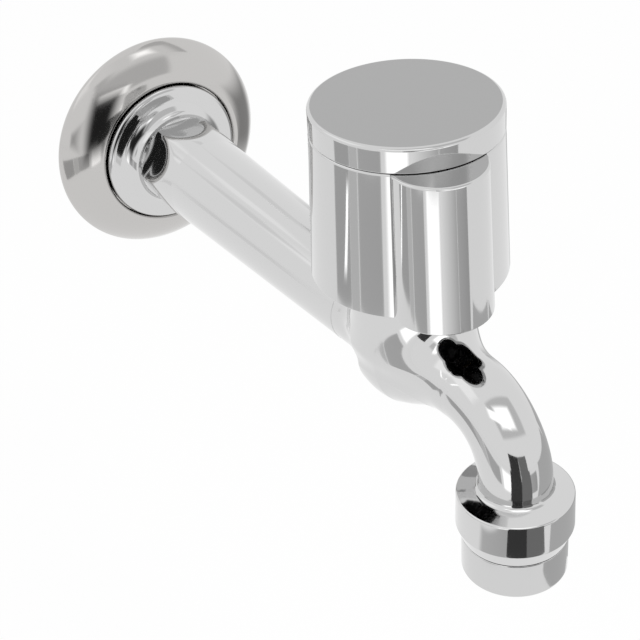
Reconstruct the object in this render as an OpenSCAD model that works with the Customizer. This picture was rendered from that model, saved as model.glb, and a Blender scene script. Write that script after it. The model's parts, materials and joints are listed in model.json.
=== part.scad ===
// Wall-mounted kitchen tap with a quarter-turn ceramic valve and a lobed knob.
// Frame: the origin is the middle of the inlet on the wall plane, the wall is
// the plane Y = 0, the tap reaches out along -Y and +Z is up. Millimetres.

/* [Reach] */
// Distance from the wall to the knob axis
knob_reach = 136; // [120:1:180]
// Distance from the knob axis to the outlet axis
spout_reach = 41.5; // [36:0.5:100]

/* [Inlet and wall flange] */
// Outside diameter of the inlet thread
inlet_thread_d = 20.955; // [18:0.005:22]
// Length of thread that goes into the wall
inlet_thread_len = 14; // [11:1:20]
// Diameter of the waterway in the inlet
inlet_bore_d = 12; // [9:0.5:13]
// Outside diameter of the wall flange
flange_d = 66; // [62:1:80]
// Height of the flange crown above the wall
flange_h = 10.2; // [9:0.2:14]
// Sheet thickness of the flange
flange_wall = 1.1; // [0.8:0.1:1.6]
// Diameter of the round shoulder of the body that sits in the flange
shoulder_d = 42.4; // [38:0.2:46]
// Gap round the shoulder
shoulder_gap = 0.4; // [0.3:0.1:0.8]
// Distance of the shoulder's back face from the wall
shoulder_back = 6.2; // [5:0.2:8]
// Thickness of the shoulder at its crown
shoulder_t = 5.2; // [4:0.2:7]
// Radius of the hollow curve from the shoulder to the hexagon
shoulder_fillet = 4.6; // [2:0.2:5]
// Spanner size of the hexagon
hex_af = 25; // [24:0.5:27]
// Length of the hexagon
hex_len = 9; // [6:0.5:12]

/* [Body tube] */
// Outside diameter of the tube at the wall plane
tube_d_wall = 28.1; // [27:0.1:29]
// Outside diameter of the tube at the valve
tube_d_valve = 20.4; // [19.6:0.1:24]
// Wall of the tube
tube_wall = 3; // [2:0.1:4]
// Outside diameter of the valve boss
boss_d = 30.4; // [29:0.2:34]
// Height of the boss rim above the tube axis
boss_top = 24; // [22:0.5:28]
// Diameter of the round bowl under the valve
bowl_d = 25.4; // [24:0.2:29]
// Depth of the bowl below the tube axis
bowl_depth = 15; // [14.6:0.2:18]

/* [Spout] */
// Outside diameter of the spout after the valve
spout_d_start = 20; // [18:0.2:22]
// Outside diameter of the spout at the bend and the outlet
spout_d = 17.9; // [17:0.1:20]
// Radius of the bend at its middle line
bend_r = 17; // [14:0.5:18]
// Diameter of the waterway in the spout
spout_bore_d = 11.5; // [8:0.5:12]

/* [Outlet] */
// Diameter of the outlet ring cast on the spout
ring_d = 28.8; // [28:0.2:34]
// Depth of the ring's upper edge below the tube axis
ring_top = 20; // [19.5:0.5:30]
// Height of the straight side of the ring
ring_h = 9; // [7:0.2:12]
// Diameter of the aerator housing under the ring
housing_d = 26; // [25:0.2:28]
// Height of the housing that shows
housing_h = 10.4; // [9:0.2:16]
// Diameter of the thread between ring and housing
outlet_thread_d = 19; // [18.4:0.2:19.4]
// Length of the thread between ring and housing
outlet_thread_len = 7; // [6:0.5:8]

/* [Knob] */
// Diameter of the knob at its upper edge
knob_d_top = 45.5; // [42:0.5:50]
// Diameter of the knob at its lower edge
knob_d_base = 48; // [45:0.5:54]
// Height of the knob's lower edge above the tube axis
knob_base = 23.1; // [22:0.1:28]
// Height of the lower part of the knob
knob_h = 37.3; // [36.5:0.1:46]
// Height of the cap
cap_h = 6.3; // [5:0.1:9]
// Radius of the cap's upper edge
cap_round = 0.9; // [0.5:0.1:4]
// Wall of the knob
knob_wall = 2.2; // [1.6:0.1:3]
// Distance of the finger lobe from the knob axis at the top
lobe_out_top = 18.9; // [17:0.1:21]
// Distance of the finger lobe from the knob axis at the base
lobe_out_base = 20.4; // [18:0.1:23]
// Diameter of the finger lobe at the top
lobe_d_top = 23.2; // [20:0.2:27]
// Diameter of the finger lobe at the base
lobe_d_base = 24.2; // [20:0.2:28]
// Direction of the lobe at rest, from straight ahead towards -X
lobe_angle = 14; // [-40:1:40]
// Groove between the knob and its cap
parting_gap = 0.3; // [0.2:0.05:0.6]

/* [Valve] */
// Thread diameter of the bonnet
bonnet_thread_d = 20.955; // [20.2:0.005:22]
// Diameter of the bonnet below its thread
bonnet_low_d = 18.4; // [17.6:0.2:19]
// Diameter of the ceramic discs
disc_d = 14.6; // [13.6:0.2:15]
// Thickness of each ceramic disc
disc_t = 3; // [2.6:0.1:3.1]
// Diameter of the spindle in its bearing
spindle_d = 9.6; // [9:0.2:10]
// Diameter of the splined end of the spindle
spline_d = 8; // [7:0.1:8.2]
// Number of spline teeth
spline_teeth = 20; // [16:2:24]
// Quarter turn from closed to open
open_angle = 90; // [80:5:90]

/* [Fits] */
// Running gap on a radius
run_fit = 0.06; // [0.04:0.01:0.1]
// Gap on a radius between parts that are pushed or screwed together
push_fit = 0.1; // [0.05:0.05:0.2]
// Gap between faces that slide
face_gap = 0.05; // [0.02:0.01:0.1]

/* [Hidden] */
$fn = 96;
e = 0.01;
big = 200;
chamfer = 1;

// Inlet, shoulder and hexagon, distances from the wall
relief = 0.8;
reducer_d = inlet_bore_d + 3;
reducer_depth = 9;
strainer_t = 1;
strainer_in = 0.6;
neck_r = hex_af / 2 + 0.7;
shoulder_edge = 1.6;
shoulder_front = shoulder_back + shoulder_t;
hex_ac = hex_af / cos(30);
hex_start = shoulder_front + shoulder_fillet;
hex_end = hex_start + hex_len;
hex_bevel = 1.4;

// Wall flange: rim, dome and sunk seat
rim_edge = 1;
lip_r = 1.6;
dome_r = 24.6;
flange_hole_d = inlet_thread_d + 1;
seat_hole_d = shoulder_d + 2 * shoulder_gap;
gasket_t = 1;
seat_front = shoulder_back - gasket_t;
seat_back = seat_front - flange_wall;
rim_r = flange_d / 2 - flange_wall * 0.7;
crown_r = seat_hole_d / 2 + lip_r;
half_chord = norm([rim_r - crown_r, flange_h - rim_edge]) / 2;
chord_turn = atan2(flange_h - rim_edge, crown_r - rim_r);
dome_side = sqrt(pow(dome_r, 2) - pow(half_chord, 2));
dome_x = (rim_r + crown_r) / 2 + dome_side * cos(chord_turn + 90);
dome_y = (rim_edge + flange_h) / 2 + dome_side * sin(chord_turn + 90);

// Valve stack, heights above the tube axis
seat_z = 0.4;
seal_t = 2.2;
fixed_z = seat_z + seal_t;
moving_z = fixed_z + disc_t + face_gap;
foot_z = moving_z + disc_t;
foot_t = 3;
port_r = 5.2;
port_edge = 0.9;
drive_w = 4;
drive_h = 1.4;
bonnet_bottom = seat_z + 0.4;
bonnet_roof = foot_z + foot_t;
bonnet_thread_z = 12;
bonnet_flange_d = 26.6;
bonnet_flange_t = 2.4;
bonnet_gasket_t = 0.3;
bonnet_hex_af = 19;
bonnet_hex_t = 6.5;
bonnet_flange_z = boss_top + bonnet_gasket_t;
bonnet_hex_z = bonnet_flange_z + bonnet_flange_t;
bonnet_neck_d = 15;
bonnet_top = bonnet_hex_z + bonnet_hex_t + 3.5;
disc_bore_d = disc_d + 0.4;
thrust_t = 0.8;
thrust_d = 13.4;
oring_w = 1.3;
oring_depth = 1.3;
groove_w = 1.6;
bonnet_groove_z = bonnet_thread_z + 1.6;
spindle_groove_zs = [bonnet_roof + 5, bonnet_roof + 11];

// Stop washer, spring clip and spline, heights above the tube axis
notch_in_d = bonnet_neck_d - 2.6;
notch_h = 1.6;
stop_t = 1.2;
lug_angle = 40;
lug_gap_angle = 2;
wall_angle = 360 - open_angle - lug_angle - 2 * lug_gap_angle;
wall_start = open_angle + lug_angle / 2 + lug_gap_angle;
flat_in = spindle_d / 2 - 0.9;
clip_z = bonnet_top + stop_t + 0.1;
clip_t = 0.8;
clip_depth = 1;
spindle_shoulder = clip_z + clip_t + 0.5;
hub_bottom = spindle_shoulder + 0.8;
spline_top = hub_bottom + 14.4;
spline_groove = 0.7;

// Waterway
passage_d = 8;
passage_start_y = knob_reach - 20;
passage_start_z = -1;
bore_end = knob_reach - 18;
chamber_z = seat_z + 1.4;
chamber_d = bonnet_low_d + 4.6;
under_seat_d = 9.6;
under_seat_z = -7.4;
under_seat_ball = under_seat_d + 1.6;

// Knob, heights above the tube axis
knob_top = knob_base + knob_h;
shell_top = knob_top - parting_gap;
deck_t = 3.2;
deck_z = shell_top - deck_t;
cap_top = knob_top + cap_h;
lobe_edge = 0.6;
lobe_lean = atan((lobe_out_base - lobe_out_top) / knob_h);
hub_d = 15;
rib_t = 1.5;
insert_d = 11;
insert_top = spline_top + 0.8;
screw_d = 4;
screw_head_d = 7.6;
screw_head_t = 2.2;
screw_len = 12;
screw_washer_t = 0.6;
head_z = insert_top + 1.4;
spigot_h = 1.8;
spigot_t = 1.5;
spigot_d = knob_d_top - 2 * knob_wall - 1.2;
cap_plate = 2.2;

// Outlet, depths below the tube axis
outlet_y = knob_reach + spout_reach;
bend_start = outlet_y - bend_r;
ring_low = ring_top + ring_h;
cone_h = (ring_d - housing_d) * 1.3;
housing_top = ring_low + cone_h;
housing_bottom = housing_top + housing_h;
housing_edge = 0.9;
seam = 0.25;
ring_slope = 17;
ring_fillet = 1.5;
ring_edge = 0.6;
outlet_gasket_t = 2.2;

// Aerator, from the lip of the housing up
aerator_bore_d = outlet_thread_d - 3.2;
aerator_d = aerator_bore_d - 2 * push_fit;
lip_t = 1.6;
mouth_d = aerator_bore_d - 2;
screen_z = -housing_bottom + lip_t;
screen_h = 2.4;
barrel_z = screen_z + screen_h;
barrel_h = 6;
regulator_z = barrel_z + barrel_h;
regulator_h = 2.6;
dome_z = regulator_z + regulator_h;
dome_h = 3.2;
dome_ball_r = 9.5;
dome_t = 0.5;

// Turns a shape built up along +Z so that it points away from the wall.
module off_wall() rotate([90, 0, 0]) children();

// Places a shape on the knob axis.
module at_valve() translate([0, -knob_reach, 0]) children();

// Places a shape on the outlet axis.
module at_outlet() translate([0, -outlet_y, 0]) children();

// Places a shape in the direction of the finger lobe.
module at_lobe(turn = 0) rotate([0, 0, -90 - lobe_angle + turn]) children();

// Cylinder with its lower face at height z.
module disc(d, z, h) translate([0, 0, z]) cylinder(d = d, h = h);

// Six-sided bar with its lower face at height z.
module hex_bar(af, z, h) translate([0, 0, z]) cylinder(d = af / cos(30), h = h, $fn = 6);

// Cone with its lower face at height z.
module cone(d1, d2, z, h) translate([0, 0, z]) cylinder(d1 = d1, d2 = d2, h = h);

// Flat washer or sleeve with its lower face at height z.
module washer(d_out, d_in, z, h) {
  difference() {
    disc(d_out, z, h);
    disc(d_in, z - 1, h + 2);
  }
}

// O-ring that lies in a groove of a shaft, with its middle at height z.
module oring(shaft_d, z) {
  translate([0, 0, z])
    rotate_extrude()
      translate([shaft_d / 2 - oring_depth + oring_w / 2, 0]) circle(d = oring_w - 2 * e);
}

// Cut for the groove of an O-ring.
module oring_groove(shaft_d, z) {
  difference() {
    disc(shaft_d + 2, z - groove_w / 2, groove_w);
    disc(shaft_d - 2 * oring_depth, z - groove_w, 2 * groove_w);
  }
}

// Sector of radius r, from the X axis over an angle up to 90.
module sector(r, a, z, h) {
  far = 2 * r;
  translate([0, 0, z])
    intersection() {
      cylinder(r = r, h = h);
      linear_extrude(h)
        polygon([[0, 0], [far, 0], [far * cos(a / 2), far * sin(a / 2)] * 1.5, [far * cos(a), far * sin(a)]]);
    }
}

// Radius of the tube at distance y from the wall.
function tube_r(y) = (tube_d_wall + (tube_d_valve - tube_d_wall) * y / knob_reach) / 2;

// Outline of the shoulder, with a rounded edge and a hollow curve into the neck.
module shoulder_profile() {
  r = shoulder_d / 2;
  difference() {
    union() {
      translate([0, shoulder_back]) square([r - shoulder_edge, shoulder_t]);
      translate([0, shoulder_back]) square([r, shoulder_t - shoulder_edge]);
      translate([r - shoulder_edge, shoulder_front - shoulder_edge]) circle(r = shoulder_edge);
      translate([0, shoulder_front - e]) square([neck_r + shoulder_fillet, shoulder_fillet + e]);
    }
    translate([neck_r + shoulder_fillet, hex_start]) circle(r = shoulder_fillet);
  }
}

module shoulder() off_wall() rotate_extrude() shoulder_profile();

// Hexagon with both ends turned to a cone.
module spanner_hex() {
  off_wall()
    intersection() {
      hex_bar(hex_af, hex_start - 1, hex_len + 1);
      union() {
        disc(2 * neck_r, hex_start - 1, 2);
        cone(2 * neck_r, hex_ac, hex_start, hex_bevel);
        disc(hex_ac, hex_start + hex_bevel - e, hex_len - 2 * hex_bevel + 2 * e);
        cone(hex_ac, 2 * tube_r(hex_end), hex_end - hex_bevel, hex_bevel);
      }
    }
}

module inlet_spigot() {
  off_wall() {
    cone(inlet_thread_d - 2 * chamfer, inlet_thread_d, -inlet_thread_len, chamfer);
    disc(inlet_thread_d, chamfer - inlet_thread_len, inlet_thread_len - chamfer);
    disc(inlet_thread_d - 2 * relief, -e, shoulder_back + 1);
  }
}

module body_tube() {
  d = 2 * tube_r(hex_end);
  off_wall() {
    cone(d - 1, d, hex_end - 1, 1);
    cone(d, tube_d_valve, hex_end, knob_reach - hex_end);
  }
}

// Outline of the valve boss: bevelled rim, straight side, cone and round bowl.
module boss_profile() {
  r = boss_d / 2;
  bowl_z = bowl_d / 2 - bowl_depth;
  intersection() {
    translate([0, bowl_z]) circle(d = bowl_d);
    translate([0, -bowl_depth - 1]) square([bowl_d, bowl_d]);
  }
  polygon([
    [0, bowl_z], [bowl_d / 2 - 0.4, bowl_z], [r, bowl_z + 6],
    [r, boss_top - chamfer], [r - chamfer, boss_top], [0, boss_top]
  ]);
}

module valve_boss() at_valve() rotate_extrude() boss_profile();

// Quarter bend from the end of the straight spout down to the outlet axis.
module bend(d) {
  translate([0, -bend_start, -bend_r])
    rotate([90, 0, -90]) rotate_extrude(angle = 90) translate([bend_r, 0]) circle(d = d);
}

module spout_outside() {
  off_wall() cone(spout_d_start, spout_d, knob_reach, bend_start - knob_reach);
  bend(spout_d);
  at_outlet() disc(spout_d, -ring_top - 1, ring_top + 1 - bend_r);
}

// Outline of the ring under the bend: hollow curve, sloped top, side and cone.
module ring_profile() {
  neck = spout_d / 2;
  r = ring_d / 2;
  line_z = -ring_top + (r - ring_edge - neck) * tan(ring_slope);
  curve_z = line_z - ring_fillet * tan(ring_slope) + ring_fillet / cos(ring_slope);
  difference() {
    polygon([
      [0, curve_z], [neck, curve_z],
      [neck + ring_fillet * (1 - sin(ring_slope)), curve_z - ring_fillet * cos(ring_slope)],
      [r - ring_edge, -ring_top], [r, -ring_top - ring_edge], [r, -ring_low],
      [housing_d / 2, -housing_top], [0, -housing_top]
    ]);
    translate([neck + ring_fillet, curve_z]) circle(r = ring_fillet);
  }
}

module outlet_ring() at_outlet() rotate_extrude() ring_profile();

// Water from the wall to the pocket under the seat.
module inlet_water() {
  rise = under_seat_z - passage_start_z;
  run = knob_reach - passage_start_y - under_seat_d / 2 + 1;
  near_d = 2 * (tube_r(hex_end) - tube_wall);
  off_wall() {
    disc(inlet_bore_d, -inlet_thread_len - 1, inlet_thread_len + hex_start + 1);
    disc(reducer_d + 2 * push_fit, -inlet_thread_len - 1, reducer_depth + 1);
    cone(inlet_bore_d, near_d, hex_start - e, hex_len);
    cone(near_d, 2 * (tube_r(bore_end) - tube_wall), hex_end - 2 * e, bore_end - hex_end);
  }
  translate([0, -passage_start_y, passage_start_z])
    rotate([90 + atan(-rise / run), 0, 0]) cylinder(d = passage_d, h = norm([rise, run]));
}

// Pocket for the valve, with its seat and the chamber round it.
module valve_pocket() {
  at_valve() {
    translate([0, 0, under_seat_z]) sphere(d = under_seat_ball);
    disc(under_seat_d, under_seat_z, seat_z - under_seat_z + e);
    disc(bonnet_low_d + 2 * push_fit, seat_z, chamber_z - seat_z + e);
    disc(chamber_d, chamber_z, bonnet_thread_z - 1 - chamber_z);
    disc(bonnet_thread_d + 2 * push_fit, bonnet_thread_z - 1 - e, boss_top);
  }
}

// Water from the chamber to the aerator socket.
module outlet_water() {
  start = knob_reach + bonnet_low_d / 2 + 0.8;
  off_wall() disc(spout_bore_d, start, bend_start - start + e);
  bend(spout_bore_d);
  at_outlet() {
    disc(spout_bore_d, -housing_top, housing_top - bend_r + e);
    disc(outlet_thread_d + 2 * push_fit, -housing_top - 1, outlet_thread_len + outlet_gasket_t + 1);
  }
}

module tap_body() {
  color("silver")
    difference() {
      union() {
        inlet_spigot();
        shoulder();
        spanner_hex();
        body_tube();
        valve_boss();
        spout_outside();
        outlet_ring();
      }
      inlet_water();
      valve_pocket();
      outlet_water();
    }
}

// Pressed sheet: rolled rim, dome, rounded lip and a sunk seat that the shoulder clamps.
module flange_profile() {
  r = flange_d / 2;
  intersection() {
    translate([dome_x, dome_y])
      difference() {
        circle(r = dome_r, $fn = 200);
        circle(r = dome_r - flange_wall, $fn = 200);
      }
    translate([crown_r, 0.6]) square([rim_r - crown_r + 4, flange_h + 2]);
  }
  translate([r - rim_edge, rim_edge]) circle(r = rim_edge, $fn = 48);
  translate([r - 2.6 * rim_edge, 0]) square([1.6 * rim_edge, rim_edge]);
  translate([crown_r, flange_h - lip_r])
    intersection() {
      difference() {
        circle(r = lip_r, $fn = 48);
        circle(r = lip_r - flange_wall, $fn = 48);
      }
      translate([-2, 0]) square([2 + e, 2]);
    }
  translate([seat_hole_d / 2, seat_back]) square([flange_wall, flange_h - lip_r - seat_back + e]);
  translate([flange_hole_d / 2, seat_back])
    square([(seat_hole_d - flange_hole_d) / 2 + e, flange_wall]);
}

module wall_flange() {
  color("gainsboro") off_wall() rotate_extrude() flange_profile();
}

module flange_seal() {
  color("dimgray") off_wall() washer(seat_hole_d, flange_hole_d, 0, seat_back);
}

module shoulder_gasket() {
  color("dimgray") off_wall() washer(shoulder_d - 4, inlet_thread_d + 2 * push_fit, seat_front, gasket_t);
}

// Perforated disc in front of the reducer.
module inlet_strainer() {
  color("silver")
    off_wall()
      difference() {
        disc(reducer_d, -inlet_thread_len + strainer_in, strainer_t);
        for (ring = [0 : 2])
          for (i = [0 : max(1, 6 * ring) - 1])
            rotate([0, 0, 360 / max(1, 6 * ring) * i])
              translate([2.3 * ring, 0, 0]) disc(1.5, -inlet_thread_len, 3);
      }
}

// Plastic bush in the inlet that throttles high pressure.
module flow_reducer() {
  z = -inlet_thread_len + strainer_in + strainer_t;
  color("white")
    off_wall()
      difference() {
        disc(reducer_d, z, reducer_depth - strainer_in - strainer_t);
        disc(7, z - 1, reducer_depth + 2);
        cone(13, 7, z - e, 3);
      }
}

module bonnet() {
  color("peru")
    at_valve()
      difference() {
        union() {
          disc(bonnet_low_d, bonnet_bottom, bonnet_thread_z - bonnet_bottom + e);
          disc(bonnet_thread_d, bonnet_thread_z, bonnet_flange_z - bonnet_thread_z + 1);
          disc(bonnet_flange_d, bonnet_flange_z, bonnet_flange_t);
          hex_bar(bonnet_hex_af, bonnet_hex_z - e, bonnet_hex_t);
          disc(bonnet_neck_d, bonnet_hex_z, bonnet_top - bonnet_hex_z);
        }
        disc(disc_bore_d, bonnet_bottom - 1, bonnet_roof - bonnet_bottom + 1);
        disc(thrust_d + 2 * run_fit, bonnet_roof - e, thrust_t + face_gap + e);
        disc(spindle_d + 2 * run_fit, bonnet_roof, bonnet_top);
        // Side windows at the moving disc
        for (a = [-90, 90])
          rotate([0, 0, a]) translate([0, -4, moving_z + 0.2]) cube([bonnet_low_d, 8, 5]);
        oring_groove(bonnet_thread_d, bonnet_groove_z);
        bonnet_notch();
      }
}

// Cut at the top of the bonnet that leaves a wall to stop the lug at both ends.
module bonnet_notch() {
  difference() {
    washer(bonnet_neck_d + 1, notch_in_d, bonnet_top - notch_h, notch_h + 1);
    for (k = [0 : 2])
      rotate([0, 0, wall_start + k * wall_angle / 3])
        sector(bonnet_neck_d, wall_angle / 3 + e, bonnet_top - notch_h - 1, notch_h + 3);
  }
}

module bonnet_oring() {
  color("black") at_valve() oring(bonnet_thread_d, bonnet_groove_z);
}

module bonnet_gasket() {
  color("dimgray") at_valve() washer(bonnet_flange_d, bonnet_thread_d + 2 * push_fit, boss_top, bonnet_gasket_t);
}

module seat_seal() {
  color("black") at_valve() washer(disc_d, under_seat_d, seat_z, seal_t);
}

// Two opposite quarter ports, each set back from the dividing lines.
module quarter_ports(r, turn, z) {
  for (a = [turn, turn + 180])
    rotate([0, 0, a])
      intersection() {
        sector(r, 90, z, disc_t + 2);
        translate([port_edge, port_edge, z]) cube([disc_d, disc_d, disc_t + 2]);
      }
}

module fixed_disc() {
  color("white")
    at_valve()
      difference() {
        disc(disc_d, fixed_z, disc_t);
        quarter_ports(port_r, 0, fixed_z - 1);
      }
}

module moving_disc() {
  color("white")
    at_valve()
      difference() {
        disc(disc_d, moving_z, disc_t);
        quarter_ports(disc_d, 90, moving_z - 1);
        // Slot for the foot of the spindle
        rotate([0, 0, 45])
          translate([-disc_d, -drive_w / 2 - push_fit, foot_z - drive_h])
            cube([2 * disc_d, drive_w + 2 * push_fit, drive_h + 1]);
      }
}

// Round bar with evenly spaced round grooves.
module spline_bar(d, groove, z, h) {
  translate([0, 0, z])
    linear_extrude(h)
      difference() {
        circle(d = d);
        for (i = [0 : spline_teeth - 1])
          rotate(360 / spline_teeth * i) translate([d / 2, 0]) circle(d = groove, $fn = 16);
      }
}

module spindle() {
  color("darkgoldenrod")
    at_valve()
      difference() {
        union() {
          disc(disc_d - 0.4, foot_z, foot_t - face_gap);
          intersection() {
            rotate([0, 0, 45])
              translate([-disc_d, -drive_w / 2, foot_z - drive_h + face_gap]) cube([2 * disc_d, drive_w, drive_h + 1]);
            disc(disc_d - 0.4, 0, foot_z + 1);
          }
          disc(spindle_d, foot_z + 1, spindle_shoulder - foot_z - 1);
          spline_bar(spline_d, spline_groove, spindle_shoulder - 1, spline_top - spindle_shoulder + 1);
        }
        for (z = spindle_groove_zs) oring_groove(spindle_d, z);
        difference() {
          disc(spindle_d + 2, clip_z, clip_t);
          disc(spindle_d - 2 * clip_depth, clip_z - 1, clip_t + 2);
        }
        // Two flats that drive the stop washer
        for (a = [0, 180])
          rotate([0, 0, a]) translate([flat_in, -spindle_d, bonnet_top - 0.3]) cube([4, 2 * spindle_d, 10]);
        disc(screw_d, spline_top - screw_len + 1, screw_len);
      }
}

module spindle_orings() {
  color("black") at_valve() for (z = spindle_groove_zs) oring(spindle_d, z);
}

module thrust_washer() {
  color("white") at_valve() washer(thrust_d, spindle_d + 2 * push_fit, bonnet_roof + face_gap, thrust_t);
}

// Ring with flats inside and a lug that meets the ends of the notch.
module stop_washer() {
  half = push_fit + flat_in;
  color("silver")
    at_valve()
      difference() {
        union() {
          disc(bonnet_neck_d - 2.8, bonnet_top + face_gap, stop_t - face_gap);
          difference() {
            rotate([0, 0, -lug_angle / 2])
              sector(bonnet_neck_d / 2, lug_angle, bonnet_top - notch_h + 0.1, notch_h + stop_t - 0.1);
            disc(notch_in_d + 2 * push_fit, bonnet_top - 4, 4 + face_gap);
          }
        }
        intersection() {
          disc(spindle_d + 2 * push_fit, 0, bonnet_top + 5);
          translate([-half, -spindle_d, 0]) cube([2 * half, 2 * spindle_d, bonnet_top + 5]);
        }
      }
}

// Open spring clip in the groove of the spindle.
module spindle_clip() {
  color("silver")
    at_valve()
      difference() {
        washer(spindle_d + 3, spindle_d - 2 * clip_depth + 2 * push_fit, clip_z + e, clip_t - 2 * e);
        translate([-2, 0, clip_z - 1]) cube([4, spindle_d, clip_t + 2]);
      }
}

// Solid form of the knob, set in by g on its sides, cut from z0 to z1.
module knob_form(g, z0, z1) {
  below = 3;
  flare = (knob_d_base - knob_d_top) / knob_h * below;
  intersection() {
    union() {
      cone(knob_d_base + flare - 2 * g, knob_d_top - 2 * g, knob_base - below, knob_h + below);
      at_lobe()
        translate([lobe_out_base, 0, knob_base])
          rotate([0, -lobe_lean, 0]) cone(lobe_d_base - 2 * g, lobe_d_top - 2 * g, -below, knob_h + 2 * below);
    }
    disc(big, z0, z1 - z0);
  }
}

// Outside of the knob, with a small bevel round the top of the lobe.
module knob_outside() {
  knob_form(0, knob_base, shell_top - lobe_edge);
  intersection() {
    knob_form(0, shell_top - lobe_edge - e, shell_top);
    union() {
      disc(knob_d_top, knob_base, knob_h);
      at_lobe() translate([lobe_out_top, 0, 0])
        cone(lobe_d_top, lobe_d_top - 2 * lobe_edge, shell_top - lobe_edge - e, lobe_edge + e);
    }
  }
}

module knob_ribs() {
  for (a = [60 : 60 : 300])
    at_lobe(a)
      intersection() {
        translate([hub_d / 2 - 1, -rib_t / 2, hub_bottom + 4]) cube([knob_d_base / 2, rib_t, deck_z - hub_bottom - 3]);
        cone(knob_d_base - 2, knob_d_top - 2, knob_base, knob_h);
      }
}

module knob_shell() {
  color("lightgray")
    at_valve()
      difference() {
        union() {
          difference() {
            knob_outside();
            knob_form(knob_wall, knob_base - 1, deck_z);
          }
          disc(hub_d, hub_bottom, deck_z - hub_bottom + 1);
          knob_ribs();
        }
        disc(insert_d + 2 * push_fit, hub_bottom - 1, insert_top - hub_bottom + 1);
        disc(screw_d + 0.6, hub_bottom, knob_top);
        disc(screw_head_d + 2.4, head_z, knob_top);
        washer(spigot_d + 2 * push_fit, spigot_d - 2 * spigot_t - 2 * push_fit, shell_top - spigot_h, spigot_h + 1);
      }
}

module spline_insert() {
  color("white")
    at_valve()
      difference() {
        disc(insert_d, hub_bottom, insert_top - hub_bottom);
        spline_bar(spline_d + 2 * push_fit, spline_groove - 2 * push_fit, hub_bottom - 1, spline_top - hub_bottom + 1);
        disc(screw_d + 0.6, hub_bottom, knob_top);
      }
}

module knob_screw() {
  z = head_z + screw_washer_t;
  tip = spline_top - screw_len + 2;
  color("silver")
    at_valve()
      difference() {
        union() {
          disc(screw_head_d, z, screw_head_t);
          disc(screw_d - 2 * push_fit, tip, z - tip + e);
        }
        hex_bar(3, z + screw_head_t - 1.4, 3);
      }
}

module screw_washer() {
  color("silver") at_valve() washer(screw_head_d + 1.4, screw_d + 0.4, head_z, screw_washer_t);
}

// Cap outline: flat top, round upper edge, straight side and a spigot below.
module cap_profile() {
  r = knob_d_top / 2;
  hollow_r = spigot_d / 2 - spigot_t;
  difference() {
    union() {
      translate([0, knob_top]) square([r, cap_h - cap_round]);
      translate([0, knob_top]) square([r - cap_round, cap_h]);
      translate([r - cap_round, cap_top - cap_round]) circle(r = cap_round);
      translate([hollow_r, shell_top - spigot_h]) square([spigot_t, spigot_h + parting_gap + e]);
    }
    translate([-1, knob_top - e]) square([hollow_r + 1, cap_h - cap_plate]);
  }
}

module knob_cap() {
  color("silver") at_valve() rotate_extrude() cap_profile();
}

// Round housing with a thread into the ring and an inward lip at the mouth.
module aerator_housing() {
  r = housing_d / 2;
  color("silver")
    at_outlet()
      difference() {
        union() {
          rotate_extrude() {
            translate([0, housing_edge - housing_bottom]) square([r, housing_h - housing_edge - seam]);
            translate([0, -housing_bottom]) square([r - housing_edge, housing_h - seam]);
            translate([r - housing_edge, housing_edge - housing_bottom]) circle(r = housing_edge);
          }
          disc(outlet_thread_d, -housing_top - 1, outlet_thread_len + 1);
        }
        disc(aerator_bore_d, screen_z, housing_bottom);
        disc(mouth_d, -housing_bottom - 1, lip_t + 2);
        cone(mouth_d + 2, mouth_d, -housing_bottom - e, 1);
      }
}

// Flat ring in the seam under the spout's ring.
module seam_ring() {
  color("black") at_outlet() washer(outlet_thread_d + 3, outlet_thread_d + 2 * push_fit, -housing_top - seam, seam);
}

module outlet_gasket() {
  color("dimgray")
    at_outlet() washer(outlet_thread_d - 0.4, spout_bore_d, outlet_thread_len - housing_top, outlet_gasket_t);
}

// Cup with a grid of square holes at the mouth.
module outlet_screen() {
  pitch = 1.9;
  hole = 1.2;
  color("silver")
    at_outlet()
      difference() {
        disc(aerator_d, screen_z, screen_h);
        disc(mouth_d - 0.6, screen_z + 0.8, screen_h);
        for (ix = [-3 : 3], iy = [-3 : 3])
          if (norm([ix, iy]) < 3.3)
            translate([ix * pitch - hole / 2, iy * pitch - hole / 2, screen_z - 1]) cube([hole, hole, screen_h]);
      }
}

// Plastic barrel that mixes air into the water.
module aerator_barrel() {
  jets = 8;
  color("white")
    at_outlet()
      difference() {
        disc(aerator_d, barrel_z, barrel_h);
        disc(mouth_d - 2, barrel_z - 1, barrel_h - 0.8);
        for (i = [0 : jets - 1])
          rotate([0, 0, 360 / jets * i]) translate([4, 0, 0]) disc(1.3, barrel_z, barrel_h + 1);
      }
}

module flow_regulator() {
  holes = 6;
  color("steelblue")
    at_outlet()
      difference() {
        disc(aerator_d, regulator_z, regulator_h);
        disc(9.6, regulator_z + 1.2, regulator_h);
        for (i = [0 : holes - 1])
          rotate([0, 0, 360 / holes * i]) translate([3.2, 0, 0]) disc(1.6, regulator_z - 1, 4);
      }
}

// Domed sieve on top of the regulator.
module dome_screen() {
  color("silver")
    at_outlet()
      translate([0, 0, dome_z])
        difference() {
          rotate_extrude() {
            intersection() {
              translate([0, dome_h - dome_ball_r])
                difference() {
                  circle(r = dome_ball_r);
                  circle(r = dome_ball_r - dome_t);
                }
              square([7.4, dome_h + 1]);
            }
            translate([6.6, 0]) square([aerator_d / 2 - 6.6, 0.6]);
          }
          for (ring = [0 : 2])
            for (i = [0 : max(1, 6 * ring) - 1])
              rotate([0, 0, 360 / max(1, 6 * ring) * i]) translate([2 * ring, 0, 0]) disc(1.1, -1, dome_h + 2);
        }
}

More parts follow.
